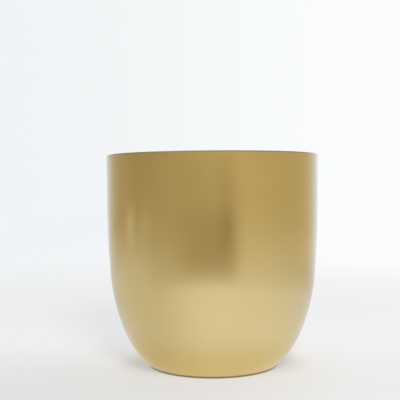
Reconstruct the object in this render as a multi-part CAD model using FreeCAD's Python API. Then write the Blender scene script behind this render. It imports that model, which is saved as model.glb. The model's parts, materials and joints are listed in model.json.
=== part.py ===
import FreeCAD, Part
import math
import os

# A spun sheet-brass cachepot: an upright collar over a wall that curves in to a small foot,
# a rim turned in as a hem, a base pushed up inside its standing ring, and four felt pads.
# Millimetres. The origin is the middle of the surface that the pot stands on.
# +Z is up, +X is the pot's right and +Y its back.

# Outside of the pot
POT_HEIGHT = 196.8          # underside of the standing ring to the top of the rim
MOUTH_RADIUS = 100.0        # the widest place, at the rim
FOOT_RADIUS = 60.0          # where the flat standing ring ends and the corner begins

# Sheet
SHEET_THICKNESS = 0.8
FOOT_BEND_RADIUS = 2.0      # inside of the bend between base and wall

# Hem: the rim is rolled inwards and runs back down inside the wall
HEM_GAP = 0.6               # left open between the wall and the flange
HEM_FLANGE_DEPTH = 7.0      # straight part of the flange, below the roll

# Base
RECESS_DEPTH = 2.0          # how far the middle of the base is pushed up
RECESS_BEND_RADIUS = 3.2    # inside of both bends of the recess

# Felt pads, each die-cut with its adhesive film
PAD_RADIUS = 6.0
PAD_THICKNESS = 1.0
PAD_EDGE_RADIUS = 0.25      # softened lower edge
PAD_MARGIN = 3.0            # flat metal left at each side of a pad
ADHESIVE_THICKNESS = 0.2

# Where the arcs of the wall meet, from the collar down: share of the pot's height above the
# standing ring, and share of the way in from the mouth to the foot.
WALL_STATION_SHARES = (
    (0.766, 0.008),
    (0.440, 0.081),
    (0.166, 0.397),
)

PAD_PLACES = ("back_right", "back_left", "front_left", "front_right")

# Worked out from the sizes above
BASE_LEVEL = PAD_THICKNESS + ADHESIVE_THICKNESS
RIM_LEVEL = BASE_LEVEL + POT_HEIGHT
ROLL_RADIUS = SHEET_THICKNESS + HEM_GAP / 2
CORNER_RADIUS = FOOT_BEND_RADIUS + SHEET_THICKNESS
RING_WIDTH = 2 * (PAD_RADIUS + PAD_MARGIN)
RING_INNER_RADIUS = FOOT_RADIUS - RING_WIDTH
PAD_CIRCLE_RADIUS = FOOT_RADIUS - RING_WIDTH / 2

QUARTER_TURN = math.pi / 2
HALF_TURN = math.pi
FULL_TURN_DEGREES = 360

# Two ends nearer to each other than this share of the sheet's thickness are one point
SAME_POINT_SHARE = 0.001


class Bend:
    """An arc of the sheet in the radius and height plane.

    radius is that of the sheet's outer side, and is negative where the sheet bends the other way.
    """

    def __init__(self, centre, radius, start, end):
        self.centre = centre
        self.radius = radius
        self.start = start
        self.end = end

    def point(self, depth, angle):
        reach = self.radius - depth
        r = self.centre[0] + reach * math.cos(angle)
        z = self.centre[1] + reach * math.sin(angle)
        return FreeCAD.Vector(r, 0, z)

    def edge(self, depth):
        middle = (self.start + self.end) / 2
        angles = (self.start, middle, self.end)
        return Part.Arc(*[self.point(depth, angle) for angle in angles]).toShape()


def wall_stations():
    """The places where the wall's arcs meet, as radius and height."""
    flare = MOUTH_RADIUS - FOOT_RADIUS
    stations = []
    for height_share, inset_share in WALL_STATION_SHARES:
        radius = MOUTH_RADIUS - inset_share * flare
        stations.append((radius, BASE_LEVEL + height_share * POT_HEIGHT))
    return stations


def bend_to(start, heading, end):
    """The arc that leaves start at a heading from straight down, and passes through end."""
    inward = start[0] - end[0]
    down = start[1] - end[1]
    turn = 2 * (math.atan2(inward, down) - heading)
    radius = math.hypot(inward, down) / (2 * math.sin(turn / 2))
    centre = (start[0] - radius * math.cos(heading), start[1] + radius * math.sin(heading))
    return Bend(centre, radius, -heading, -heading - turn), heading + turn


def bend_to_corner(start, heading, corner_centre):
    """The arc that leaves start at a heading and runs smoothly into the foot's corner."""
    across = start[0] - corner_centre[0]
    above = start[1] - corner_centre[1]
    towards = above * math.sin(heading) - across * math.cos(heading)
    spread = CORNER_RADIUS ** 2 - across ** 2 - above ** 2
    radius = spread / (2 * (towards + CORNER_RADIUS))
    centre = (start[0] - radius * math.cos(heading), start[1] + radius * math.sin(heading))
    end = math.atan2(corner_centre[1] - centre[1], corner_centre[0] - centre[0])
    return Bend(centre, radius, -heading, end)


def recess_bends():
    """The two bends between the standing ring and the raised middle of the base."""
    outer_radius = RECESS_BEND_RADIUS + SHEET_THICKNESS
    reach = outer_radius + RECESS_BEND_RADIUS
    slope = math.acos(1 - RECESS_DEPTH / reach)
    lower_centre = (RING_INNER_RADIUS, BASE_LEVEL + outer_radius)
    lower_end = -QUARTER_TURN - slope
    lower = Bend(lower_centre, outer_radius, -QUARTER_TURN, lower_end)
    upper_centre = (
        lower_centre[0] - reach * math.sin(slope),
        lower_centre[1] - reach * math.cos(slope),
    )
    upper = Bend(upper_centre, -RECESS_BEND_RADIUS, lower_end, -QUARTER_TURN)
    return lower, upper


def sheet_bends():
    """Every bend of the sheet, from the hem round the wall and the base to the middle."""
    hem_centre = (MOUTH_RADIUS - ROLL_RADIUS, RIM_LEVEL - ROLL_RADIUS)
    collar_end, waist, ankle = wall_stations()
    draft = math.atan2(MOUTH_RADIUS - collar_end[0], hem_centre[1] - collar_end[1])
    roll = Bend(hem_centre, ROLL_RADIUS, HALF_TURN, -draft)

    collar_top = roll.point(0, -draft)
    collar_drop = collar_top.z - collar_end[1]
    collar_foot = (collar_top.x - collar_drop * math.tan(draft), collar_end[1])
    upper_wall, waist_heading = bend_to(collar_foot, draft, waist)
    middle_wall, ankle_heading = bend_to(waist, waist_heading, ankle)

    corner_centre = (FOOT_RADIUS, BASE_LEVEL + CORNER_RADIUS)
    lower_wall = bend_to_corner(ankle, ankle_heading, corner_centre)
    corner = Bend(corner_centre, CORNER_RADIUS, lower_wall.end, -QUARTER_TURN)
    return [roll, upper_wall, middle_wall, lower_wall, corner, *recess_bends()]


def sheet_side(depth):
    """One side of the sheet, from the end of the flange to the middle of the base."""
    bends = sheet_bends()
    roll_start = bends[0].point(depth, bends[0].start)
    flange_end = roll_start - FreeCAD.Vector(0, 0, HEM_FLANGE_DEPTH)
    recess_edge = bends[-1].point(depth, bends[-1].end)
    middle = FreeCAD.Vector(0, 0, recess_edge.z)

    edges = [Part.LineSegment(flange_end, roll_start).toShape()]
    for before, after in zip(bends, bends[1:]):
        edges.append(before.edge(depth))
        here = before.point(depth, before.end)
        there = after.point(depth, after.start)
        if not here.isEqual(there, SAME_POINT_SHARE * SHEET_THICKNESS):
            edges.append(Part.LineSegment(here, there).toShape())
    edges.append(bends[-1].edge(depth))
    edges.append(Part.LineSegment(recess_edge, middle).toShape())
    return edges, flange_end, middle


def pot_shell():
    """The whole pot, turned about its axis from the section of the sheet."""
    outer_edges, outer_end, outer_middle = sheet_side(0)
    inner_edges, inner_end, inner_middle = sheet_side(SHEET_THICKNESS)
    flange_edge = Part.LineSegment(outer_end, inner_end).toShape()
    axis_edge = Part.LineSegment(outer_middle, inner_middle).toShape()
    loop = Part.sortEdges([flange_edge, *outer_edges, axis_edge, *inner_edges])[0]
    section = Part.Face(Part.Wire(loop))
    axis = FreeCAD.Vector(0, 0, 1)
    return section.revolve(FreeCAD.Vector(), axis, FULL_TURN_DEGREES)


def pad_centre(index):
    """The middle of a pad's place on the standing ring, at floor level."""
    angle = (index + 0.5) * 2 * math.pi / len(PAD_PLACES)
    return FreeCAD.Vector(
        PAD_CIRCLE_RADIUS * math.cos(angle),
        PAD_CIRCLE_RADIUS * math.sin(angle),
        0,
    )


def foot_pad(index):
    """A felt disc with its lower edge softened."""
    disc = Part.makeCylinder(PAD_RADIUS, PAD_THICKNESS, pad_centre(index))
    lower_edge = [edge for edge in disc.Edges if edge.BoundBox.ZMax < PAD_THICKNESS / 2]
    return disc.makeFillet(PAD_EDGE_RADIUS, lower_edge)


def pad_adhesive(index):
    """The film between a felt disc and the standing ring."""
    place = pad_centre(index) + FreeCAD.Vector(0, 0, PAD_THICKNESS)
    return Part.makeCylinder(PAD_RADIUS, ADHESIVE_THICKNESS, place)


def pieces():
    """Every piece of the object, by the name of its node."""
    made = {"pot_shell": pot_shell()}
    for index, place in enumerate(PAD_PLACES):
        made[place + "_foot_pad"] = foot_pad(index)
        made[place + "_pad_adhesive"] = pad_adhesive(index)
    return made


def main():
    os.makedirs("parts", exist_ok=True)
    for name, shape in pieces().items():
        shape.exportStep("parts/" + name + ".step")
        print(name, "valid", shape.isValid(), "solids", len(shape.Solids), "mm3", round(shape.Volume, 1))


main()
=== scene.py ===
import bpy
import json
import math
from mathutils import Matrix, Vector


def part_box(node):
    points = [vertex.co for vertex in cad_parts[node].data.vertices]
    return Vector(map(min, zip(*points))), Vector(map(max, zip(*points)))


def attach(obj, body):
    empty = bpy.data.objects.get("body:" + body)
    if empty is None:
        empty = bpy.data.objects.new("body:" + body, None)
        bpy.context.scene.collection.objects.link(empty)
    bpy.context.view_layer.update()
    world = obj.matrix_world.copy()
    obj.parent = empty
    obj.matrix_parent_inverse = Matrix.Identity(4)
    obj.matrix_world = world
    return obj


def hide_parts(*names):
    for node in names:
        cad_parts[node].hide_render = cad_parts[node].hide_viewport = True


# A spun brass cachepot with a satin finish under clear lacquer, on four felt pads.
# Metres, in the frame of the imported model: +Z up, -Y towards the camera.

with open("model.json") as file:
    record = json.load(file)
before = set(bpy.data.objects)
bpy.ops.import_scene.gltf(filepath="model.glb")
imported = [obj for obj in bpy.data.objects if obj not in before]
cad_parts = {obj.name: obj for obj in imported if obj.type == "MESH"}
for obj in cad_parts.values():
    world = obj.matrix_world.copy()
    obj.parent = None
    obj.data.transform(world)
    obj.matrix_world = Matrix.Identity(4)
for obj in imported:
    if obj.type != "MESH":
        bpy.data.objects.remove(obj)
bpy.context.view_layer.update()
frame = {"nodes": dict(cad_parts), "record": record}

MM = 0.001
QUARTER_TURN = math.pi / 2
HALF_TURN = math.pi
FULL_TURN = 2 * math.pi

# Sizes that the frame gives
SHELL_LOW, SHELL_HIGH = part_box("pot_shell")
MOUTH_RADIUS = SHELL_HIGH.x
RIM_LEVEL = SHELL_HIGH.z
BASE_LEVEL = SHELL_LOW.z
POT_HEIGHT = RIM_LEVEL - BASE_LEVEL
MOUTH = next(mount for mount in frame["record"]["mounts"] if mount["name"] == "mouth")
FLANGE_RADIUS = MOUTH["dims"]["r_mm"] * MM
FLANGE_DEPTH = MOUTH["dims"]["length_mm"] * MM
ROLL_RADIUS = (MOUTH_RADIUS - FLANGE_RADIUS) / 2
PAD_NODES = sorted(name for name in frame["nodes"] if name.endswith("_foot_pad"))
ADHESIVE_NODES = sorted(name for name in frame["nodes"] if name.endswith("_pad_adhesive"))
PAD_LOW, PAD_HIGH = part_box(PAD_NODES[0])
PAD_RADIUS = (PAD_HIGH.x - PAD_LOW.x) / 2
PAD_THICKNESS = PAD_HIGH.z - PAD_LOW.z
PAD_CIRCLE_RADIUS = ((PAD_LOW + PAD_HIGH) / 2).xy.length

# The sheet and its bends, as the solids have them
SHEET_THICKNESS = 0.8 * MM
FOOT_BEND_RADIUS = 2.0 * MM
CORNER_RADIUS = FOOT_BEND_RADIUS + SHEET_THICKNESS
PAD_MARGIN = 3.0 * MM
FOOT_RADIUS = PAD_CIRCLE_RADIUS + PAD_RADIUS + PAD_MARGIN
RING_INNER_RADIUS = PAD_CIRCLE_RADIUS - PAD_RADIUS - PAD_MARGIN
RECESS_DEPTH = 2.0 * MM
RECESS_BEND_RADIUS = 3.2 * MM
EDGE_ROUND = 0.2 * MM           # at both corners of the flange's trimmed edge

# Where the arcs of the wall meet, from the collar down: share of the pot's height above the
# standing ring, and share of the way in from the mouth to the foot.
WALL_STATION_SHARES = (
    (0.766, 0.008),
    (0.440, 0.081),
    (0.166, 0.397),
)

# What spinning and finishing leave on the sheet
CENTRE_MARK_RADIUS = 2.4 * MM
CENTRE_MARK_DEPTH = 0.3 * MM
CENTRE_MARK_RINGS = 6
WOBBLE_DEPTH = 0.12 * MM        # how far the wall wanders inwards from a true round
WOBBLE_LENGTH = 45 * MM
WOBBLE_SEED = 7
WOBBLE_FADE = 18 * MM           # the wall is true again this far from its rim and its foot
SLOW_NOISE_DETAIL = 1.0         # of the wall's wander and of the felt's ripple

# How finely the pot is turned
TURN_SEGMENTS = 240
LONGEST_STEP = 2.0 * MM
WIDEST_TURN = math.radians(15)
SPINE_RADIUS = 1 * MM
MERGE_DISTANCE = 0.001 * MM

# The camera, found from the pot's outline in the photograph
CAMERA_DISTANCE = 710.5 * MM    # from the pot's axis
CAMERA_LEVEL = 167.2 * MM
CAMERA_TILT = math.radians(0.937)
CAMERA_YAW = math.radians(0.933)
CAMERA_ROLL = math.radians(-0.39)
FOCAL_PIXELS = 745
PHOTO_PIXELS = 400
SENSOR_WIDTH = 36               # millimetres, as Blender counts sensors and lenses

# Felt
FELT_SEGMENTS = 72
FELT_STEP = 0.4 * MM
FELT_LOWER_EDGE_RADIUS = 0.25 * MM
FELT_UPPER_EDGE_RADIUS = 0.1 * MM
FELT_RIPPLE_DEPTH = 0.07 * MM
FELT_RIPPLE_LENGTH = 0.7 * MM
FIBRE_LENGTH = 0.7 * MM
FIBRE_BOW = 0.15 * MM
FIBRE_RADIUS = 0.013 * MM
FIBRE_CORNERS = 3
FIBRE_STEPS = 4
FIBRE_LIFT = math.radians(14)   # how steeply the fibres leave the felt, at the most
FIBRE_DIP = FIBRE_LIFT / 4      # and how steeply they turn back into it
FIBRES_PER_SQUARE_METRE = 5.0e6


class Bend:
    """An arc of the sheet in the radius and height plane.

    radius is that of the sheet's outer side, and is negative where the sheet bends back.
    """

    def __init__(self, centre, radius, start, end):
        self.centre = centre
        self.radius = radius
        self.start = start
        self.end = end

    def point(self, depth, angle):
        reach = self.radius - depth
        return (
            self.centre[0] + reach * math.cos(angle),
            self.centre[1] + reach * math.sin(angle),
        )

    def points(self, depth):
        turn = self.end - self.start
        length = abs(turn * (self.radius - depth))
        steps = max(math.ceil(length / LONGEST_STEP), math.ceil(abs(turn) / WIDEST_TURN))
        angles = [self.start + turn * step / steps for step in range(steps + 1)]
        return [self.point(depth, angle) for angle in angles]


def wall_stations():
    """The places where the wall's arcs meet, as radius and height."""
    flare = MOUTH_RADIUS - FOOT_RADIUS
    return [
        (MOUTH_RADIUS - inset_share * flare, BASE_LEVEL + height_share * POT_HEIGHT)
        for height_share, inset_share in WALL_STATION_SHARES
    ]


def bend_to(start, heading, end):
    """The arc that leaves start at a heading from straight down, and passes through end."""
    inward = start[0] - end[0]
    down = start[1] - end[1]
    turn = 2 * (math.atan2(inward, down) - heading)
    radius = math.hypot(inward, down) / (2 * math.sin(turn / 2))
    centre = (start[0] - radius * math.cos(heading), start[1] + radius * math.sin(heading))
    return Bend(centre, radius, -heading, -heading - turn), heading + turn


def bend_to_corner(start, heading, corner_centre):
    """The arc that leaves start at a heading and runs smoothly into the foot's corner."""
    across = start[0] - corner_centre[0]
    above = start[1] - corner_centre[1]
    towards = above * math.sin(heading) - across * math.cos(heading)
    spread = CORNER_RADIUS ** 2 - across ** 2 - above ** 2
    radius = spread / (2 * (towards + CORNER_RADIUS))
    centre = (start[0] - radius * math.cos(heading), start[1] + radius * math.sin(heading))
    end = math.atan2(corner_centre[1] - centre[1], corner_centre[0] - centre[0])
    return Bend(centre, radius, -heading, end)


def recess_bends():
    """The two bends between the standing ring and the raised middle of the base."""
    outer_radius = RECESS_BEND_RADIUS + SHEET_THICKNESS
    reach = outer_radius + RECESS_BEND_RADIUS
    slope = math.acos(1 - RECESS_DEPTH / reach)
    lower_centre = (RING_INNER_RADIUS, BASE_LEVEL + outer_radius)
    lower_end = -QUARTER_TURN - slope
    upper_centre = (
        lower_centre[0] - reach * math.sin(slope),
        lower_centre[1] - reach * math.cos(slope),
    )
    lower = Bend(lower_centre, outer_radius, -QUARTER_TURN, lower_end)
    upper = Bend(upper_centre, -RECESS_BEND_RADIUS, lower_end, -QUARTER_TURN)
    return lower, upper


def sheet_bends():
    """Every bend of the sheet, from the hem round the wall and the base to the middle."""
    hem_centre = (MOUTH_RADIUS - ROLL_RADIUS, RIM_LEVEL - ROLL_RADIUS)
    collar_end, waist, ankle = wall_stations()
    draft = math.atan2(MOUTH_RADIUS - collar_end[0], hem_centre[1] - collar_end[1])
    roll = Bend(hem_centre, ROLL_RADIUS, HALF_TURN, -draft)

    collar_top = roll.point(0, -draft)
    collar_drop = collar_top[1] - collar_end[1]
    collar_foot = (collar_top[0] - collar_drop * math.tan(draft), collar_end[1])
    upper_wall, waist_heading = bend_to(collar_foot, draft, waist)
    middle_wall, ankle_heading = bend_to(waist, waist_heading, ankle)

    corner_centre = (FOOT_RADIUS, BASE_LEVEL + CORNER_RADIUS)
    lower_wall = bend_to_corner(ankle, ankle_heading, corner_centre)
    corner = Bend(corner_centre, CORNER_RADIUS, lower_wall.end, -QUARTER_TURN)
    return [roll, upper_wall, middle_wall, lower_wall, corner, *recess_bends()]


def close_set(points, longest_step=LONGEST_STEP):
    """The same line, with points added on its long straight runs and repeats left out."""
    line = [points[0]]
    for end in points[1:]:
        start = line[-1]
        run = math.dist(start, end)
        if run < MERGE_DISTANCE:
            continue
        steps = math.ceil(run / longest_step)
        for step in range(1, steps + 1):
            share = step / steps
            line.append(tuple(a + (b - a) * share for a, b in zip(start, end)))
    return line


def centre_mark(level):
    """The small dint that the lathe's centre presses up in the base, from its rim inwards."""
    points = []
    for ring in range(CENTRE_MARK_RINGS + 1):
        out = 1 - ring / CENTRE_MARK_RINGS
        rise = CENTRE_MARK_DEPTH * (1 - out ** 2) ** 2
        points.append((out * CENTRE_MARK_RADIUS, level + rise))
    return points


def sheet_side(depth):
    """One side of the sheet, from the flange's trimmed edge to the middle of the base."""
    bends = sheet_bends()
    roll_start = bends[0].point(depth, bends[0].start)
    points = [(roll_start[0], roll_start[1] - FLANGE_DEPTH + EDGE_ROUND)]
    for bend in bends:
        points += bend.points(depth)
    points += centre_mark(points[-1][1])
    return close_set(points)


def trimmed_edge(outer_end, inner_end):
    """The flange's lower edge, with both of its corners broken."""
    outer_centre = (outer_end[0] + EDGE_ROUND, outer_end[1])
    inner_centre = (inner_end[0] - EDGE_ROUND, inner_end[1])
    outer_corner = Bend(outer_centre, EDGE_ROUND, HALF_TURN, HALF_TURN + QUARTER_TURN)
    inner_corner = Bend(inner_centre, EDGE_ROUND, -QUARTER_TURN, 0)
    return outer_corner.points(0)[1:] + inner_corner.points(0)[:-1]


def new_object(name, data):
    """A new object of the scene, at the origin."""
    made = bpy.data.objects.new(name, data)
    bpy.context.scene.collection.objects.link(made)
    return made


def section_piece(name, outline, attributes):
    """A line of points in the radius and height plane, laid out for the turning tree."""
    mesh = bpy.data.meshes.new(name)
    places = [(radius - SPINE_RADIUS, -height, 0) for radius, height in outline]
    mesh.from_pydata(places, [(i, i + 1) for i in range(len(places) - 1)], [])
    for title, values in attributes.items():
        mesh.attributes.new(title, "FLOAT", "POINT").data.foreach_set("value", values)
    return new_object(name, mesh)


def lengths_along(outline):
    """How far each point lies from the first, along the line."""
    lengths = [0.0]
    for start, end in zip(outline, outline[1:]):
        lengths.append(lengths[-1] + math.dist(start, end))
    return lengths


# Node trees

def give(tree, socket, value):
    """Links a socket to another node's output, or sets it to a plain value."""
    if isinstance(value, bpy.types.NodeSocket):
        tree.links.new(value, socket)
    else:
        socket.default_value = value


def node(tree, kind, inputs=None, **settings):
    """A new node with its settings, and its inputs linked or set by name."""
    made = tree.nodes.new(kind)
    for title, value in settings.items():
        setattr(made, title, value)
    for title, value in (inputs or {}).items():
        give(tree, made.inputs[title], value)
    return made


def reckon(tree, operation, *values):
    """The result of a Math node."""
    made = node(tree, "ShaderNodeMath", operation=operation)
    for socket, value in zip(made.inputs, values):
        give(tree, socket, value)
    return made.outputs["Value"]


def product(tree, *values):
    """All the values multiplied with one another."""
    result = values[0]
    for value in values[1:]:
        result = reckon(tree, "MULTIPLY", result, value)
    return result


def ramp(tree, value, low, high, to_low=0.0, to_high=1.0):
    """A smooth step of value from low to high."""
    inputs = {
        "Value": value,
        "From Min": low,
        "From Max": high,
        "To Min": to_low,
        "To Max": to_high,
    }
    made = node(tree, "ShaderNodeMapRange", inputs, interpolation_type="SMOOTHSTEP")
    return made.outputs["Result"]


def blend_colours(tree, share, first, second):
    """The first colour where share is 0, and the second where it is 1."""
    made = node(tree, "ShaderNodeMix", data_type="RGBA")
    give(tree, made.inputs["Factor"], share)
    colours = [socket for socket in made.inputs if socket.type == "RGBA"]
    for socket, colour in zip(colours, (first, second)):
        give(tree, socket, colour)
    return next(socket for socket in made.outputs if socket.type == "RGBA")


def noise(tree, place, size, detail=2.0, roughness=0.5, seed=0.0):
    """Soft noise with lumps of about a size, in metres."""
    inputs = {
        "Vector": place,
        "W": seed,
        "Scale": 1 / size,
        "Detail": detail,
        "Roughness": roughness,
    }
    return node(tree, "ShaderNodeTexNoise", inputs, noise_dimensions="4D").outputs["Fac"]


def join_vector(tree, x, y, z):
    """A vector from its three parts."""
    return node(tree, "ShaderNodeCombineXYZ", {"X": x, "Y": y, "Z": z}).outputs["Vector"]


def split_vector(tree, vector):
    """The three parts of a vector."""
    made = node(tree, "ShaderNodeSeparateXYZ", {"Vector": vector})
    return made.outputs["X"], made.outputs["Y"], made.outputs["Z"]


def scaled(tree, vector, share):
    """A vector or a colour, times a share."""
    made = node(tree, "ShaderNodeVectorMath", {"Scale": share}, operation="SCALE")
    give(tree, made.inputs[0], vector)
    return made.outputs["Vector"]


def geometry_tree(name, sizes):
    """An empty geometry tree with a geometry input and the named inputs."""
    tree = bpy.data.node_groups.new(name, "GeometryNodeTree")
    tree.interface.new_socket(name="Section", in_out="INPUT", socket_type="NodeSocketGeometry")
    for title, kind in sizes.items():
        tree.interface.new_socket(name=title, in_out="INPUT", socket_type="NodeSocket" + kind)
    tree.interface.new_socket(name="Piece", in_out="OUTPUT", socket_type="NodeSocketGeometry")
    return tree, node(tree, "NodeGroupInput").outputs


def close_tree(tree, geometry, material):
    """Ends a tree in smooth shading, real instances and its material."""
    smooth = node(tree, "GeometryNodeSetShadeSmooth", {"Geometry": geometry})
    real = node(tree, "GeometryNodeRealizeInstances", {"Geometry": smooth.outputs["Geometry"]})
    dressed = node(tree, "GeometryNodeSetMaterial", {
        "Geometry": real.outputs["Geometry"],
        "Material": material,
    })
    node(tree, "NodeGroupOutput", {"Piece": dressed.outputs["Geometry"]})


def turn_section(tree, section, segments):
    """Sweeps a section round the Z axis and closes its poles."""
    profile = node(tree, "GeometryNodeMeshToCurve", {"Mesh": section})
    spine = node(tree, "GeometryNodeCurvePrimitiveCircle", {
        "Resolution": segments,
        "Radius": SPINE_RADIUS,
    })
    upright = node(
        tree,
        "GeometryNodeSetCurveNormal",
        {"Curve": spine.outputs["Curve"]},
        mode="Z_UP",
    )
    swept = node(tree, "GeometryNodeCurveToMesh", {
        "Curve": upright.outputs["Curve"],
        "Profile Curve": profile.outputs["Curve"],
    })
    closed = node(tree, "GeometryNodeMergeByDistance", {
        "Geometry": swept.outputs["Mesh"],
        "Distance": MERGE_DISTANCE,
    })
    return closed.outputs["Geometry"]


def point_place(tree):
    """Where each point of the mesh is."""
    return node(tree, "GeometryNodeInputPosition").outputs["Position"]


def slow_noise(tree, length, seed):
    """Soft noise over the points of a mesh, with lumps of a given length."""
    inputs = {
        "Vector": point_place(tree),
        "W": seed,
        "Scale": reckon(tree, "DIVIDE", 1.0, length),
        "Detail": SLOW_NOISE_DETAIL,
    }
    return node(tree, "ShaderNodeTexNoise", inputs, noise_dimensions="4D").outputs["Fac"]


def pushed_in(tree, geometry, outward, depth):
    """Moves each point of a mesh against its outward direction, by a depth."""
    moved = node(tree, "GeometryNodeSetPosition", {
        "Geometry": geometry,
        "Offset": scaled(tree, outward, reckon(tree, "MULTIPLY", depth, -1.0)),
    })
    return moved.outputs["Geometry"]


def turned_sheet_tree():
    """Turns the sheet's section, and lets the wall wander inwards a little."""
    tree, given = geometry_tree("turned_sheet", {
        "Segments": "Int",
        "Wobble depth": "Float",
        "Wobble length": "Float",
        "Wobble fade": "Float",
        "Foot level": "Float",
        "Rim level": "Float",
        "Seed": "Float",
        "Material": "Material",
    })
    turned = turn_section(tree, given["Section"], given["Segments"])
    x, y, z = split_vector(tree, point_place(tree))
    foot, rim, fade = given["Foot level"], given["Rim level"], given["Wobble fade"]
    depth = product(
        tree,
        ramp(tree, z, foot, reckon(tree, "ADD", foot, fade)),
        ramp(tree, z, rim, reckon(tree, "SUBTRACT", rim, fade)),
        slow_noise(tree, given["Wobble length"], given["Seed"]),
        given["Wobble depth"],
    )
    radial = node(tree, "ShaderNodeVectorMath", operation="NORMALIZE")
    give(tree, radial.inputs[0], join_vector(tree, x, y, 0.0))
    moved = pushed_in(tree, turned, radial.outputs["Vector"], depth)
    close_tree(tree, moved, given["Material"])
    return tree


def fibre(tree, given):
    """One short bowed fibre that starts at the origin and runs along X."""
    length = given["Fibre length"]
    half = reckon(tree, "MULTIPLY", length, 0.5)
    line = node(tree, "GeometryNodeCurveQuadraticBezier", {
        "Resolution": FIBRE_STEPS,
        "Start": (0, 0, 0),
        "Middle": join_vector(tree, half, given["Fibre bow"], 0.0),
        "End": join_vector(tree, length, 0.0, 0.0),
    })
    ring = node(tree, "GeometryNodeCurvePrimitiveCircle", {
        "Resolution": FIBRE_CORNERS,
        "Radius": given["Fibre radius"],
    })
    body = node(tree, "GeometryNodeCurveToMesh", {
        "Curve": line.outputs["Curve"],
        "Profile Curve": ring.outputs["Curve"],
        "Fill Caps": True,
    })
    return body.outputs["Mesh"]


def felt_pad_tree():
    """Turns the pad's section, ripples it inwards, and lays fibres on it."""
    tree, given = geometry_tree("felt_pad", {
        "Segments": "Int",
        "Middle": "Vector",
        "Thickness": "Float",
        "Ripple depth": "Float",
        "Ripple length": "Float",
        "Fibre length": "Float",
        "Fibre bow": "Float",
        "Fibre radius": "Float",
        "Fibres per square metre": "Float",
        "Seed": "Int",
        "Material": "Material",
    })
    turned = turn_section(tree, given["Section"], given["Segments"])
    ripple = slow_noise(tree, given["Ripple length"], given["Seed"])
    depth = reckon(tree, "MULTIPLY", ripple, given["Ripple depth"])
    outward = node(tree, "GeometryNodeInputNormal").outputs["Normal"]
    rippled = pushed_in(tree, turned, outward, depth)

    spread = node(tree, "GeometryNodeDistributePointsOnFaces", {
        "Mesh": rippled,
        "Density": given["Fibres per square metre"],
        "Seed": given["Seed"],
    })
    turn = node(tree, "FunctionNodeRandomValue", data_type="FLOAT_VECTOR")
    give(tree, turn.inputs["Min"], (0, -FIBRE_LIFT, 0))
    give(tree, turn.inputs["Max"], (0, FIBRE_DIP, FULL_TURN))
    give(tree, turn.inputs["Seed"], given["Seed"])
    way = node(tree, "FunctionNodeRotateRotation", rotation_space="LOCAL")
    give(tree, way.inputs["Rotation"], spread.outputs["Rotation"])
    as_rotation = node(tree, "FunctionNodeEulerToRotation", {"Euler": turn.outputs["Value"]})
    give(tree, way.inputs["Rotate By"], as_rotation.outputs["Rotation"])
    laid = node(tree, "GeometryNodeInstanceOnPoints", {
        "Points": spread.outputs["Points"],
        "Instance": fibre(tree, given),
        "Rotation": way.outputs["Rotation"],
    })
    joined = node(tree, "GeometryNodeJoinGeometry")
    tree.links.new(laid.outputs["Instances"], joined.inputs["Geometry"])
    tree.links.new(rippled, joined.inputs["Geometry"])
    real = node(tree, "GeometryNodeRealizeInstances", {"Geometry": joined.outputs["Geometry"]})

    x, y, z = split_vector(tree, point_place(tree))
    level = reckon(tree, "MAXIMUM", reckon(tree, "MINIMUM", z, given["Thickness"]), 0.0)
    set_down = node(tree, "GeometryNodeSetPosition", {
        "Geometry": real.outputs["Geometry"],
        "Position": join_vector(tree, x, y, level),
        "Offset": given["Middle"],
    })
    close_tree(tree, set_down.outputs["Geometry"], given["Material"])
    return tree


def made_by(piece, tree, values):
    """Runs a tree on a piece and keeps the result as its plain mesh."""
    modifier = piece.modifiers.new(tree.name, "NODES")
    modifier.node_group = tree
    for item in tree.interface.items_tree:
        if item.in_out == "INPUT" and item.name in values:
            modifier[item.identifier] = values[item.name]
    bpy.context.view_layer.update()
    graph = bpy.context.evaluated_depsgraph_get()
    mesh = bpy.data.meshes.new_from_object(piece.evaluated_get(graph))
    piece.modifiers.remove(modifier)
    piece.data = mesh
    mesh.name = piece.name


# Materials

def new_material(name):
    """A material, with its tree and its main shader."""
    material = bpy.data.materials.new(name)
    material.use_nodes = True
    tree = material.node_tree
    return material, tree, tree.nodes["Principled BSDF"]


def object_place(tree):
    """The place on the piece, in metres from the origin."""
    return node(tree, "ShaderNodeTexCoord").outputs["Object"]


def attribute(tree, title):
    """A value that the section carries, where the surface is."""
    return node(tree, "ShaderNodeAttribute", attribute_name=title).outputs["Fac"]


def bump(tree, height, distance, strength=1.0, under=None):
    """A normal raised by height, on top of the normal under it."""
    inputs = {"Height": height, "Distance": distance, "Strength": strength}
    if under is not None:
        inputs["Normal"] = under
    return node(tree, "ShaderNodeBump", inputs).outputs["Normal"]


BRASS_COLOUR = (0.725, 0.590, 0.300, 1)
BRASS_DEEP_COLOUR = (0.705, 0.565, 0.275, 1)
BRASS_ROUGHNESS = 0.22
LACQUER_ROUGHNESS = 0.12
RING_DETAIL = 3.0               # of the turning lines and the tool marks alike
RING_GRAIN = 0.6
TURNING_LINE_PITCH = 0.3 * MM
TURNING_LINE_LENGTH = 60 * MM
TURNING_LINE_DEPTH = 0.004 * MM
TOOL_MARK_PITCH = 5.0 * MM      # on the inside, where the sheet lay on the spinning form
TOOL_MARK_LENGTH = 400 * MM
TOOL_MARK_DEPTH = 0.22 * MM
LACQUER_PEEL_SIZE = 1.6 * MM
LACQUER_PEEL_DEPTH = 0.01 * MM
LACQUER_PEEL_DETAIL = 1.0
LACQUER_PEEL_SEED = 5.0
CLOUD_SIZE = 55 * MM            # of slow patches of deeper colour and another roughness
CLOUD_SEED = 2.0
CLOUD_RANGE = (0.2, 0.8)
CLOUD_ROUGHNESS = (-0.02, 0.02)
INNER_ROUGHNESS = 0.10          # added on the inside
SATIN_PULL = 0.35               # how far the satin draws a highlight out across its lines

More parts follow.
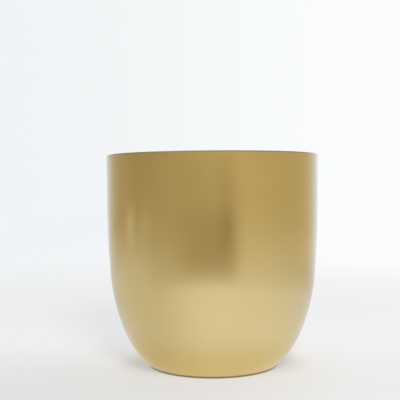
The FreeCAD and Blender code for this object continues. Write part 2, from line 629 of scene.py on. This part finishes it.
FELT_COLOUR = (0.030, 0.026, 0.022, 1)
FELT_TUFT_COLOUR = (0.085, 0.075, 0.065, 1)
FELT_ROUGHNESS = 0.95
FELT_SHEEN = 0.4
FELT_SHEEN_ROUGHNESS = 0.5
TUFT_SIZE = 0.5 * MM
TUFT_DEPTH = 0.08 * MM
TUFT_DETAIL = 5.0
TUFT_GRAIN = 0.7

FILM_COLOUR = (0.66, 0.64, 0.58, 1)
FILM_PALE_COLOUR = (0.76, 0.74, 0.68, 1)
FILM_ROUGHNESS = (0.30, 0.45)
MOTTLE_SIZE = 1.2 * MM
MOTTLE_DEPTH = 0.02 * MM
MOTTLE_DETAIL = 3.0
MOTTLE_RANGE = (0.2, 0.8)


def rings(tree, x, y, along, pitch, length):
    """Noise drawn out round the axis, as a tool leaves it on a turned sheet."""
    stretch = pitch / length
    across = join_vector(
        tree,
        reckon(tree, "MULTIPLY", x, stretch),
        reckon(tree, "MULTIPLY", y, stretch),
        along,
    )
    return noise(tree, across, pitch, RING_DETAIL, RING_GRAIN)


def brass_finish():
    """Satin brass with turning lines that follow the sheet, under clear lacquer."""
    material, tree, skin = new_material("satin_brass")
    place = object_place(tree)
    x, y = split_vector(tree, place)[:2]
    along = attribute(tree, "along_sheet")
    inner = attribute(tree, "inner_side")

    lines = rings(tree, x, y, along, TURNING_LINE_PITCH, TURNING_LINE_LENGTH)
    marks = rings(tree, x, y, along, TOOL_MARK_PITCH, TOOL_MARK_LENGTH)
    cloud = noise(tree, place, CLOUD_SIZE, seed=CLOUD_SEED)
    peel = noise(tree, place, LACQUER_PEEL_SIZE, LACQUER_PEEL_DETAIL, seed=LACQUER_PEEL_SEED)

    deep = ramp(tree, cloud, *CLOUD_RANGE)
    clouding = ramp(tree, deep, 0.0, 1.0, *CLOUD_ROUGHNESS)
    outer_roughness = reckon(tree, "ADD", BRASS_ROUGHNESS, clouding)
    added_inside = reckon(tree, "MULTIPLY", inner, INNER_ROUGHNESS)
    colour = blend_colours(tree, deep, BRASS_COLOUR, BRASS_DEEP_COLOUR)
    round_the_axis = node(tree, "ShaderNodeTangent", direction_type="RADIAL", axis="Z")
    give(tree, skin.inputs["Base Color"], colour)
    give(tree, skin.inputs["Roughness"], reckon(tree, "ADD", outer_roughness, added_inside))
    give(tree, skin.inputs["Metallic"], 1.0)
    give(tree, skin.inputs["Anisotropic"], SATIN_PULL)
    give(tree, skin.inputs["Tangent"], round_the_axis.outputs["Tangent"])
    give(tree, skin.inputs["Coat Weight"], 1.0)
    give(tree, skin.inputs["Coat Roughness"], LACQUER_ROUGHNESS)

    outer = reckon(tree, "SUBTRACT", 1.0, inner)
    lacquer = bump(tree, peel, LACQUER_PEEL_DEPTH, outer)
    lacquer = bump(tree, marks, TOOL_MARK_DEPTH, inner, under=lacquer)
    metal = bump(tree, lines, TURNING_LINE_DEPTH, outer, under=lacquer)
    give(tree, skin.inputs["Coat Normal"], lacquer)
    give(tree, skin.inputs["Normal"], metal)
    return material


def felt_finish():
    """Dark pressed felt."""
    material, tree, skin = new_material("pad_felt")
    tufts = noise(tree, object_place(tree), TUFT_SIZE, TUFT_DETAIL, TUFT_GRAIN)
    colour = blend_colours(tree, tufts, FELT_COLOUR, FELT_TUFT_COLOUR)
    give(tree, skin.inputs["Base Color"], colour)
    give(tree, skin.inputs["Roughness"], FELT_ROUGHNESS)
    give(tree, skin.inputs["Sheen Weight"], FELT_SHEEN)
    give(tree, skin.inputs["Sheen Roughness"], FELT_SHEEN_ROUGHNESS)
    give(tree, skin.inputs["Normal"], bump(tree, tufts, TUFT_DEPTH))
    return material


def adhesive_finish():
    """The pad's adhesive film, milky and a little uneven."""
    material, tree, skin = new_material("pad_adhesive_film")
    mottle = noise(tree, object_place(tree), MOTTLE_SIZE, MOTTLE_DETAIL)
    colour = blend_colours(tree, mottle, FILM_COLOUR, FILM_PALE_COLOUR)
    give(tree, skin.inputs["Base Color"], colour)
    give(tree, skin.inputs["Roughness"], ramp(tree, mottle, *MOTTLE_RANGE, *FILM_ROUGHNESS))
    give(tree, skin.inputs["Normal"], bump(tree, mottle, MOTTLE_DEPTH))
    return material


# Pieces

def pot_shell():
    """The whole pot, turned from one sheet."""
    outer = sheet_side(0)
    inner = sheet_side(SHEET_THICKNESS)
    edge = trimmed_edge(outer[0], inner[0])
    outline = outer[::-1] + edge + inner
    piece = section_piece("pot_shell_skin", outline, {
        "along_sheet": lengths_along(outline),
        "inner_side": [0.0] * (len(outer) + len(edge)) + [1.0] * len(inner),
    })
    made_by(piece, turned_sheet_tree(), {
        "Segments": TURN_SEGMENTS,
        "Wobble depth": WOBBLE_DEPTH,
        "Wobble length": WOBBLE_LENGTH,
        "Wobble fade": WOBBLE_FADE,
        "Foot level": BASE_LEVEL + CORNER_RADIUS,
        "Rim level": RIM_LEVEL - ROLL_RADIUS - FLANGE_DEPTH,
        "Seed": float(WOBBLE_SEED),
        "Material": brass_finish(),
    })
    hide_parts("pot_shell")
    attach(piece, "root")


def felt_outline():
    """A pad's section, from the middle of its underside round its edge to its top."""
    low, high = FELT_LOWER_EDGE_RADIUS, FELT_UPPER_EDGE_RADIUS
    low_edge = Bend((PAD_RADIUS - low, low), low, -QUARTER_TURN, 0)
    high_edge = Bend((PAD_RADIUS - high, PAD_THICKNESS - high), high, 0, QUARTER_TURN)
    points = [(0.0, 0.0), *low_edge.points(0), *high_edge.points(0), (0.0, PAD_THICKNESS)]
    return close_set(points, FELT_STEP)


def foot_pad(node_name, number, felt):
    """One felt pad, set in the place of its node."""
    low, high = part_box(node_name)
    middle = (low + high) / 2
    piece = section_piece(node_name + "_felt", felt_outline(), {})
    made_by(piece, felt_pad_tree(), {
        "Segments": FELT_SEGMENTS,
        "Middle": (middle.x, middle.y, 0.0),
        "Thickness": PAD_THICKNESS,
        "Ripple depth": FELT_RIPPLE_DEPTH,
        "Ripple length": FELT_RIPPLE_LENGTH,
        "Fibre length": FIBRE_LENGTH,
        "Fibre bow": FIBRE_BOW,
        "Fibre radius": FIBRE_RADIUS,
        "Fibres per square metre": FIBRES_PER_SQUARE_METRE,
        "Seed": number,
        "Material": felt,
    })
    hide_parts(node_name)
    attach(piece, "root")


def camera():
    """The camera at the photograph's place, aimed a little down and to the left."""
    data = bpy.data.cameras.new("camera")
    data.sensor_width = SENSOR_WIDTH
    data.lens = SENSOR_WIDTH * FOCAL_PIXELS / PHOTO_PIXELS
    thing = new_object("camera", data)
    thing.matrix_world = (
        Matrix.Translation((0, -CAMERA_DISTANCE, CAMERA_LEVEL))
        @ Matrix.Rotation(CAMERA_YAW, 4, "Z")
        @ Matrix.Rotation(QUARTER_TURN - CAMERA_TILT, 4, "X")
        @ Matrix.Rotation(CAMERA_ROLL, 4, "Z")
    )
    bpy.context.scene.camera = thing


# Floor, room and lamps

EYE_RAYS = ("Is Camera Ray", "Is Transmission Ray")
GLOSSY_RAYS = "Is Glossy Ray"
WHITE = (1, 1, 1, 1)
FLOOR_RADIUS = 4.0
FLOOR_CORNERS = 128

# The floor's tone to the eye, in front of the pot and behind it, at the left and the right.
# It is a painted light gradient: darker in front and at the left, lighter behind and at the
# right.
FLOOR_FRONT_LEFT_COLOUR = (0.708, 0.709, 0.703, 1)
FLOOR_FRONT_RIGHT_COLOUR = (0.775, 0.776, 0.775, 1)
FLOOR_BACK_LEFT_COLOUR = (0.828, 0.836, 0.843, 1)
FLOOR_BACK_RIGHT_COLOUR = (0.840, 0.850, 0.858, 1)
FLOOR_FRONT = -0.12             # where each tone is reached, along Y and then along X
FLOOR_BACK = 0.14
FLOOR_LEFT = -0.06
FLOOR_RIGHT = 0.15
SELF_LIT_SHARE = 0.85           # of the floor, for the eye: the rest takes light and shadow

# Close to the foot the floor has a painted contact shadow, and painted warm light from the
# brass
CONTACT_START = 0.0585          # from the pot's axis, like the distances below
CONTACT_END = 0.0625
CONTACT_SHADOW_COLOUR = (0.31, 0.25, 0.155, 1)
BOUNCE_START = 0.06
EYE_BOUNCE_END = 0.16
EYE_BOUNCE_COLOUR = (1.02, 0.985, 0.93, 1)
GLOSS_BOUNCE_END = 0.132
GLOSS_BOUNCE_COLOUR = (0.895, 0.818, 0.60, 1)

# The wall leans out over the floor, and a painted shade stands for its shadow: not in front,
# and in full from beside the foot to behind it
OVERHANG_START = 0.055          # from the pot's axis
OVERHANG_END = 0.10
OVERHANG_LEVEL = 0.76           # the share of its tone that the floor keeps in full shade
OVERHANG_FRONT = -0.07
OVERHANG_BACK = 0.0

# The backdrop's tone to the eye: a painted light gradient, darker at the left
BACKDROP_LEFT_COLOUR = (0.880, 0.900, 0.915, 1)
BACKDROP_RIGHT_COLOUR = (0.965, 0.980, 0.995, 1)
BACKDROP_HALF_WIDTH = 0.27      # by the sideways part of a ray's direction
FAR_HALF_WIDTH = 0.5            # of the same change of tone on the far floor, in metres
FAR_START = 0.25
FAR_END = 1.1

# What the brass reflects, a painted reflection that the floor shows only to glossy rays, with
# the room's light above: a pale sheet under the pot, a dim warm room round it, and a white
# backdrop behind it. Levels are shares of white, and azimuths are degrees from the camera,
# towards the pot's right.
ROOM_LEVELS = (
    (-134, 0.450),
    (-108, 0.440),
    (-88, 0.350),
    (-60, 0.418),
    (-18, 0.510),
    (32, 0.625),
    (66, 0.515),
    (112, 0.530),
)
ROOM_TINT = (1.175, 1.003, 0.605)
HALF_CIRCLE = 180               # degrees
UPPER_ROOM_COLOUR = (0.31, 0.27, 0.20, 1)
UPPER_ROOM_RISE = (0.1, 0.5)    # by the height of a ray's direction: 0 level, 1 upright
CEILING_COLOUR = (0.70, 0.69, 0.66, 1)
CEILING_RISE = (0.6, 0.95)
BACKDROP_GLOSS_COLOUR = (0.92, 0.96, 1.12, 1)
BACKDROP_GLOSS_LEFT = (-114, -178)
BACKDROP_GLOSS_RIGHT = (107, 168)
# The painted lit sheet, darker at the left than at the right
SHEET_LEFT_COLOUR = (0.755, 0.725, 0.635, 1)
SHEET_RIGHT_COLOUR = (0.940, 0.925, 0.890, 1)
SHEET_LEFT = -60
SHEET_RIGHT = 5
SHEET_FADE_START = 0.30         # metres from the pot's axis
SHEET_FADE_END = 2.0
LEFT_FADE_START = 0.55          # the same at the far left, where the sheet reaches further
LEFT_FADE_FROM = -45
LEFT_FADE_TO = -85

# Behind the pot the left and the right of the sheet become one, with painted shade near the
# pot
BEHIND_STARTS = 120
BEHIND_ENDS = 180
BEHIND_RIGHT_SHARE = 0.35
DIM_LEVEL = 0.80
DIM_LEFT = (-95, -165)
DIM_RIGHT = (30, 140)
DIM_FADE = (0.35, 1.0)

# A painted dark reflection that only the brass sees: the dim stretch of floor straight in
# front, by azimuth and then by distance
SHADE_COLOUR = (0.475, 0.390, 0.240, 1)
DEEP_SHADE_COLOUR = (0.340, 0.272, 0.165, 1)
SHADE_LEFT = (-55, -15)
SHADE_RIGHT = (34, 13)
SHADE_DEEPENS = (1, 15)
SHADE_DEEP_FROM = (0.5, 0.9)
SHADE_NEAR = 0.37
SHADE_FAR = 0.47
SHADE_ABOVE_LEFT = (2, 11)      # the deep part goes on above the horizon, between these
SHADE_ABOVE_RIGHT = (30, 17)
SHADE_ABOVE_TOP = 0.025         # by the height of a ray's direction
SHADE_ABOVE_SHARE = 0.3

# Two painted light streaks far out on the floor at the left, which only the brass sees: their
# two sides and their shares
STREAK_COLOUR = (0.86, 0.78, 0.56, 1)
STREAKS = (
    ((-103, -96), (-86, -92), 0.9),
    ((-84, -75), (-62, -71), 0.45),
)
STREAK_NEAR = (0.7, 1.3)
STREAK_FAR = (3.6, 2.4)

# What lights the felt and the matt part of the floor: the room's plain light, and two lamps,
# each with its name, place, width and power in watts
FILL_STRENGTH = 0.50
LAMPS = (
    ("top_lamp", (0.1, 0.3, 1.5), 1.6, 5),
    ("front_lamp", (0.25, -1.1, 0.9), 0.35, 28),
)


def seen_share(tree, *kinds):
    """1 for rays of these kinds, and 0 for the rest."""
    path = node(tree, "ShaderNodeLightPath")
    share = path.outputs[kinds[0]]
    for kind in kinds[1:]:
        share = reckon(tree, "MAXIMUM", share, path.outputs[kind])
    return share


def tinted(tree, colour, tint):
    """One colour through another."""
    made = node(tree, "ShaderNodeVectorMath", operation="MULTIPLY")
    give(tree, made.inputs[0], colour)
    give(tree, made.inputs[1], tint)
    return made.outputs["Vector"]


def azimuth_degrees(tree, x, y):
    """Degrees from the camera's side, towards the pot's right."""
    turn = reckon(tree, "ARCTAN2", x, reckon(tree, "MULTIPLY", y, -1.0))
    return reckon(tree, "DEGREES", turn)


def straight_ramp(tree, value, low, high):
    """A straight rise from 0 at low to 1 at high."""
    inputs = {"Value": value, "From Min": low, "From Max": high}
    return node(tree, "ShaderNodeMapRange", inputs).outputs["Result"]


def room_colour(tree, azimuth):
    """The dim warm room, and the white backdrop behind the pot."""
    made = node(tree, "ShaderNodeValToRGB")
    stops = made.color_ramp
    stops.interpolation = "B_SPLINE"
    while len(stops.elements) < len(ROOM_LEVELS):
        stops.elements.new(0.5)     # each stop goes to its own azimuth below
    for stop, (degrees, level) in zip(stops.elements, ROOM_LEVELS):
        stop.position = (degrees + HALF_CIRCLE) / (2 * HALF_CIRCLE)
        stop.color = (*(level * part for part in ROOM_TINT), 1)
    give(tree, made.inputs["Fac"], straight_ramp(tree, azimuth, -HALF_CIRCLE, HALF_CIRCLE))
    left = ramp(tree, azimuth, *BACKDROP_GLOSS_LEFT)
    behind = reckon(tree, "MAXIMUM", left, ramp(tree, azimuth, *BACKDROP_GLOSS_RIGHT))
    return blend_colours(tree, behind, made.outputs["Color"], BACKDROP_GLOSS_COLOUR)


def by_the_foot(tree, colour, bounce, bounce_end, distance):
    """A tone of the floor, with painted warm light near the foot and a painted shadow under
    it.
    """
    clear_of_brass = ramp(tree, distance, BOUNCE_START, bounce_end)
    warmth = blend_colours(tree, clear_of_brass, bounce, WHITE)
    contact = ramp(tree, distance, CONTACT_START, CONTACT_END)
    shade = blend_colours(tree, contact, CONTACT_SHADOW_COLOUR, WHITE)
    return tinted(tree, tinted(tree, colour, warmth), shade)


def overhang_shade(tree, y, distance):
    """The share of its light that the leaning wall leaves the floor, as a painted shade."""
    least = ramp(tree, y, OVERHANG_FRONT, OVERHANG_BACK, 1.0, OVERHANG_LEVEL)
    return ramp(tree, distance, OVERHANG_START, OVERHANG_END, least, 1.0)


def joined_behind(tree, azimuth, share):
    """A share of the right side that becomes the same from both sides behind the pot."""
    behind = ramp(tree, reckon(tree, "ABSOLUTE", azimuth), BEHIND_STARTS, BEHIND_ENDS)
    inputs = {"Factor": behind, "A": share, "B": BEHIND_RIGHT_SHARE}
    return node(tree, "ShaderNodeMix", inputs).outputs["Result"]


def floor_in_gloss(tree, x, y, distance):
    """A painted reflection, which only the brass sees on the floor: the lit sheet, and the
    room past its edges.
    """
    azimuth = azimuth_degrees(tree, x, y)
    right = joined_behind(tree, azimuth, ramp(tree, azimuth, SHEET_LEFT, SHEET_RIGHT))
    lit = blend_colours(tree, right, SHEET_LEFT_COLOUR, SHEET_RIGHT_COLOUR)
    lit = by_the_foot(tree, lit, GLOSS_BOUNCE_COLOUR, GLOSS_BOUNCE_END, distance)
    nearness = reckon(tree, "DIVIDE", 1.0, distance)
    off_left = ramp(tree, azimuth, LEFT_FADE_TO, LEFT_FADE_FROM)
    not_left = joined_behind(tree, azimuth, off_left)
    start = ramp(tree, not_left, 0.0, 1.0, 1 / LEFT_FADE_START, 1 / SHEET_FADE_START)
    side_fade = straight_ramp(tree, nearness, 1 / SHEET_FADE_END, start)
    front_fade = ramp(tree, distance, SHADE_FAR, SHADE_NEAR)
    front = product(tree, ramp(tree, azimuth, *SHADE_LEFT), ramp(tree, azimuth, *SHADE_RIGHT))
    streaks = [
        product(tree, ramp(tree, azimuth, *left), ramp(tree, azimuth, *right), share)
        for left, right, share in STREAKS
    ]
    streak = product(
        tree,
        reckon(tree, "MAXIMUM", *streaks),
        ramp(tree, distance, *STREAK_NEAR),
        ramp(tree, distance, *STREAK_FAR),
    )
    deepens = ramp(tree, azimuth, *SHADE_DEEPENS)
    deep = reckon(tree, "MULTIPLY", deepens, ramp(tree, distance, *SHADE_DEEP_FROM))
    shade = blend_colours(tree, deep, SHADE_COLOUR, DEEP_SHADE_COLOUR)
    fade = node(tree, "ShaderNodeMix", {"Factor": front, "A": side_fade, "B": front_fade})
    room = blend_colours(tree, front, room_colour(tree, azimuth), shade)
    streaked = blend_colours(tree, streak, room, STREAK_COLOUR)
    whole = blend_colours(tree, fade.outputs["Result"], streaked, lit)
    dim = product(
        tree,
        ramp(tree, azimuth, *DIM_LEFT, 1.0, DIM_LEVEL),
        ramp(tree, azimuth, *DIM_RIGHT, 1.0, DIM_LEVEL),
    )
    return scaled(tree, whole, ramp(tree, distance, *DIM_FADE, dim, 1.0))


def backdrop_colour(tree, x, half_width):
    """The backdrop's tone to the eye, a painted light gradient from its left to its right."""
    return blend_colours(
        tree,
        ramp(tree, x, -half_width, half_width),
        BACKDROP_LEFT_COLOUR,
        BACKDROP_RIGHT_COLOUR,
    )


def glow(tree, colour):
    """A surface that shows its colour as it is, whatever light falls on it."""
    return node(tree, "ShaderNodeEmission", {"Color": colour, "Strength": 1.0})


def mix_shaders(tree, share, first, second):
    """The first shader where share is 0, and the second where it is 1."""
    made = node(tree, "ShaderNodeMixShader")
    give(tree, made.inputs[0], share)
    give(tree, made.inputs[1], first.outputs[0])
    give(tree, made.inputs[2], second.outputs[0])
    return made


def floor_finish():
    """A pale matt floor. Far off it takes the backdrop's colour, so that no horizon shows."""
    material, tree = new_material("studio_floor")[:2]
    place = object_place(tree)
    x, y = split_vector(tree, place)[:2]
    reach = node(tree, "ShaderNodeVectorMath", operation="LENGTH")
    give(tree, reach.inputs[0], place)
    distance = reach.outputs["Value"]

    # Painted light gradient: the floor's tone darker in front and at the left
    side = ramp(tree, x, FLOOR_LEFT, FLOOR_RIGHT)
    front = blend_colours(tree, side, FLOOR_FRONT_LEFT_COLOUR, FLOOR_FRONT_RIGHT_COLOUR)
    back = blend_colours(tree, side, FLOOR_BACK_LEFT_COLOUR, FLOOR_BACK_RIGHT_COLOUR)
    tone = blend_colours(tree, ramp(tree, y, FLOOR_FRONT, FLOOR_BACK), front, back)
    tone = scaled(tree, tone, overhang_shade(tree, y, distance))
    colour = by_the_foot(tree, tone, EYE_BOUNCE_COLOUR, EYE_BOUNCE_END, distance)

    matt = node(tree, "ShaderNodeBsdfDiffuse", {"Color": colour})
    far = glow(tree, backdrop_colour(tree, x, FAR_HALF_WIDTH))
    # The brass sees a painted reflection on the floor, not the floor's own lit tone
    gloss = glow(tree, floor_in_gloss(tree, x, y, distance))
    shown = seen_share(tree, *EYE_RAYS)
    self_lit = reckon(tree, "MULTIPLY", shown, SELF_LIT_SHARE)
    near = mix_shaders(tree, self_lit, matt, glow(tree, colour))
    far_share = reckon(tree, "MULTIPLY", ramp(tree, distance, FAR_START, FAR_END), shown)
    seen = mix_shaders(tree, far_share, near, far)
    whole = mix_shaders(tree, seen_share(tree, GLOSSY_RAYS), seen, gloss)
    give(tree, tree.nodes["Material Output"].inputs["Surface"], whole.outputs["Shader"])
    return material


def studio_floor():
    """A wide round sheet that the pot stands on."""
    mesh = bpy.data.meshes.new("studio_floor")
    turns = [FULL_TURN * corner / FLOOR_CORNERS for corner in range(FLOOR_CORNERS)]
    rim = [
        (FLOOR_RADIUS * math.cos(turn), FLOOR_RADIUS * math.sin(turn), 0)
        for turn in turns
    ]
    mesh.from_pydata(rim, [], [list(range(FLOOR_CORNERS))])
    mesh.materials.append(floor_finish())
    thing = new_object("studio_floor", mesh)


def room():
    """White to the eye, a dim warm room in the brass, and plain soft light on what is matt."""
    world = bpy.data.worlds.new("room")
    bpy.context.scene.world = world
    world.use_nodes = True
    tree = world.node_tree
    tree.nodes.clear()
    way = node(tree, "ShaderNodeTexCoord").outputs["Generated"]
    x, y, z = split_vector(tree, way)
    azimuth = azimuth_degrees(tree, x, y)
    around = room_colour(tree, azimuth)
    shade = product(
        tree,
        ramp(tree, azimuth, *SHADE_ABOVE_LEFT),
        ramp(tree, azimuth, *SHADE_ABOVE_RIGHT),
        ramp(tree, z, SHADE_ABOVE_TOP, 0.0),
        SHADE_ABOVE_SHARE,
    )
    around = blend_colours(tree, shade, around, DEEP_SHADE_COLOUR)
    ceiling = ramp(tree, z, *CEILING_RISE)
    above = blend_colours(tree, ceiling, UPPER_ROOM_COLOUR, CEILING_COLOUR)
    shown = blend_colours(tree, ramp(tree, z, *UPPER_ROOM_RISE), around, above)

    fill = node(tree, "ShaderNodeBackground", {"Color": WHITE, "Strength": FILL_STRENGTH})
    gloss = node(tree, "ShaderNodeBackground", {"Color": shown, "Strength": 1.0})
    clear = node(tree, "ShaderNodeBackground", {
        "Color": backdrop_colour(tree, x, BACKDROP_HALF_WIDTH),
        "Strength": 1.0,
    })
    lit = mix_shaders(tree, seen_share(tree, GLOSSY_RAYS), fill, gloss)
    whole = mix_shaders(tree, seen_share(tree, *EYE_RAYS), lit, clear)
    node(tree, "ShaderNodeOutputWorld", {"Surface": whole.outputs["Shader"]})


def lamp(name, place, width, power):
    """A square soft lamp aimed at the middle of the pot, which doesn't show in the brass."""
    data = bpy.data.lights.new(name, "AREA")
    data.shape = "SQUARE"
    data.size = width
    data.energy = power
    thing = new_object(name, data)
    aim = Vector((0, 0, POT_HEIGHT / 2)) - Vector(place)
    thing.location = place
    thing.rotation_mode = "QUATERNION"
    thing.rotation_quaternion = aim.to_track_quat("-Z", "Y")
    thing.visible_glossy = False


camera()
bpy.context.scene.view_settings.view_transform = "Standard"
pot_shell()
felt = felt_finish()
for number, name in enumerate(PAD_NODES):
    foot_pad(name, number, felt)
film = adhesive_finish()
for name in ADHESIVE_NODES:
    frame["nodes"][name].data.materials.clear()
    frame["nodes"][name].data.materials.append(film)
studio_floor()
room()
for facts in LAMPS:
    lamp(*facts)
